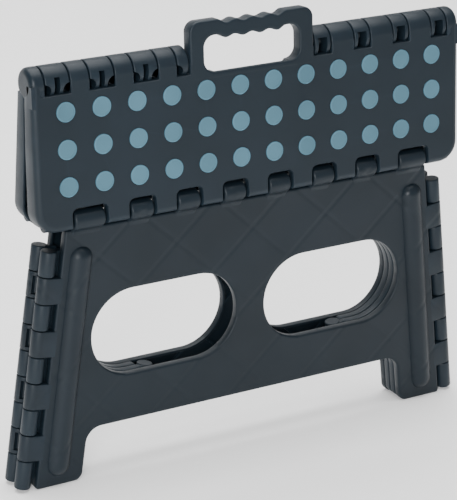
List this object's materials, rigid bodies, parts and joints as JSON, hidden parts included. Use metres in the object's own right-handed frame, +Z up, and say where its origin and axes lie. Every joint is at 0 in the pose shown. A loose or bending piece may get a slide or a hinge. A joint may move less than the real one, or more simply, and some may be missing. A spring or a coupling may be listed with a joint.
{
  "type": "folding step stool",
  "caption": "Folding plastic step stool with a hinged dotted top, carrying handle, two holed leg panels and bi-fold end panels, shown folded flat.",
  "frame": {"origin": "on the floor under the middle of the folded stool", "axes": "+X along the stool to its right, -Y its front, +Z up"},
  "size_m": [0.4158, 0.0446, 0.3581],
  "materials": {
    "body": "satin, fine moulded grain, slate blue-grey",
    "grip": "matte, soft, pale blue-grey",
    "pin": "satin, dark"
  },
  "bodies": {
    "leg_front": {"leg_front_panel": "body", "outer_pin_front": "pin", "corner_pin_front_left": "pin", "corner_pin_front_right": "pin"},
    "top_front": {"top_front_panel": "body", "grip_row_front_upper": "grip", "grip_row_front_middle": "grip", "grip_row_front_lower": "grip", "centre_pin_left": "pin", "centre_pin_right": "pin"},
    "top_rear": {"top_rear_panel": "body", "grip_row_rear_upper_left": "grip", "grip_row_rear_upper_right": "grip", "grip_row_rear_middle": "grip", "grip_row_rear_lower": "grip"},
    "leg_rear": {"leg_rear_panel": "body", "outer_pin_rear": "pin", "corner_pin_rear_left": "pin", "corner_pin_rear_right": "pin"},
    "end_left_front": {"end_panel_left_front": "body", "mid_pin_left_lower": "pin", "mid_pin_left_upper": "pin"},
    "end_left_rear": {"end_panel_left_rear": "body"},
    "end_right_front": {"end_panel_right_front": "body", "mid_pin_right_lower": "pin", "mid_pin_right_upper": "pin"},
    "end_right_rear": {"end_panel_right_rear": "body"}
  },
  "joints": [
    {"name": "front_top_hinge", "type": "hinge", "parent": "leg_front", "child": "top_front", "pos_m": [0, -0.0138, 0.2187], "axis": [-1, 0, 0], "range_deg": [0, 85.19]},
    {"name": "centre_hinge", "type": "hinge", "parent": "top_front", "child": "top_rear", "pos_m": [0, 0, 0.32552], "axis": [1, 0, 0], "range_deg": [0, 170.38]},
    {"name": "rear_top_hinge", "type": "hinge", "parent": "top_rear", "child": "leg_rear", "pos_m": [0, 0.0138, 0.2187], "axis": [-1, 0, 0], "range_deg": [0, 85.19]},
    {"name": "corner_hinge_left", "type": "hinge", "parent": "leg_front", "child": "end_left_front", "pos_m": [-0.2018, -0.00795, 0], "axis": [0.1289, 0, 0.9917], "range_deg": [0, 88.6]},
    {"name": "mid_hinge_left", "type": "hinge", "parent": "end_left_front", "child": "end_left_rear", "pos_m": [-0.10108, 0, -0.01309], "axis": [-0.1289, 0, -0.9917], "range_deg": [0, 177.2]},
    {"name": "corner_hinge_right", "type": "hinge", "parent": "leg_front", "child": "end_right_front", "pos_m": [0.2018, -0.00795, 0], "axis": [0.1289, 0, -0.9917], "range_deg": [0, 88.6]},
    {"name": "mid_hinge_right", "type": "hinge", "parent": "end_right_front", "child": "end_right_rear", "pos_m": [0.10108, 0, -0.01309], "axis": [-0.1289, 0, 0.9917], "range_deg": [0, 177.2]}
  ],
  "couplings": [
    {"joint": "centre_hinge", "follows": "front_top_hinge", "ratio": 2},
    {"joint": "rear_top_hinge", "follows": "front_top_hinge", "ratio": 1},
    {"joint": "corner_hinge_left", "follows": "front_top_hinge", "ratio": 1.04},
    {"joint": "mid_hinge_left", "follows": "front_top_hinge", "ratio": 2.08},
    {"joint": "corner_hinge_right", "follows": "front_top_hinge", "ratio": 1.04},
    {"joint": "mid_hinge_right", "follows": "front_top_hinge", "ratio": 2.08}
  ]
}
